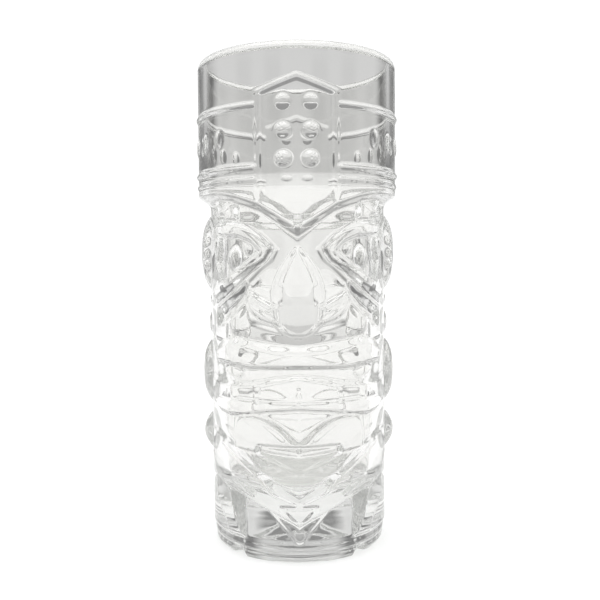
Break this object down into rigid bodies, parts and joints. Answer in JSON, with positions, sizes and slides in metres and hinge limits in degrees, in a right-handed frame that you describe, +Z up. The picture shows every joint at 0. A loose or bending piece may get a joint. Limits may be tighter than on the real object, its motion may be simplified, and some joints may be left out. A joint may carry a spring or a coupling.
{
  "type": "tiki drinking tumbler",
  "caption": "Tall handle-less tumbler of clear pressed glass for cold drinks, its wall moulded as a carved-style face under a banded hat.",
  "frame": {"origin": "centre of the foot, on the surface that the glass stands on", "axes": "+Z up along the glass's axis, -Y the way the face looks, +X to the viewer's right"},
  "size_m": [0.0716, 0.0722, 0.168],
  "materials": {
    "clear_glass": "fire-polished clear pressed glass, smooth and slightly wavy, with a faint mould seam at each side"
  },
  "bodies": {
    "root": {"glass_body": "clear_glass"}
  },
  "joints": []
}
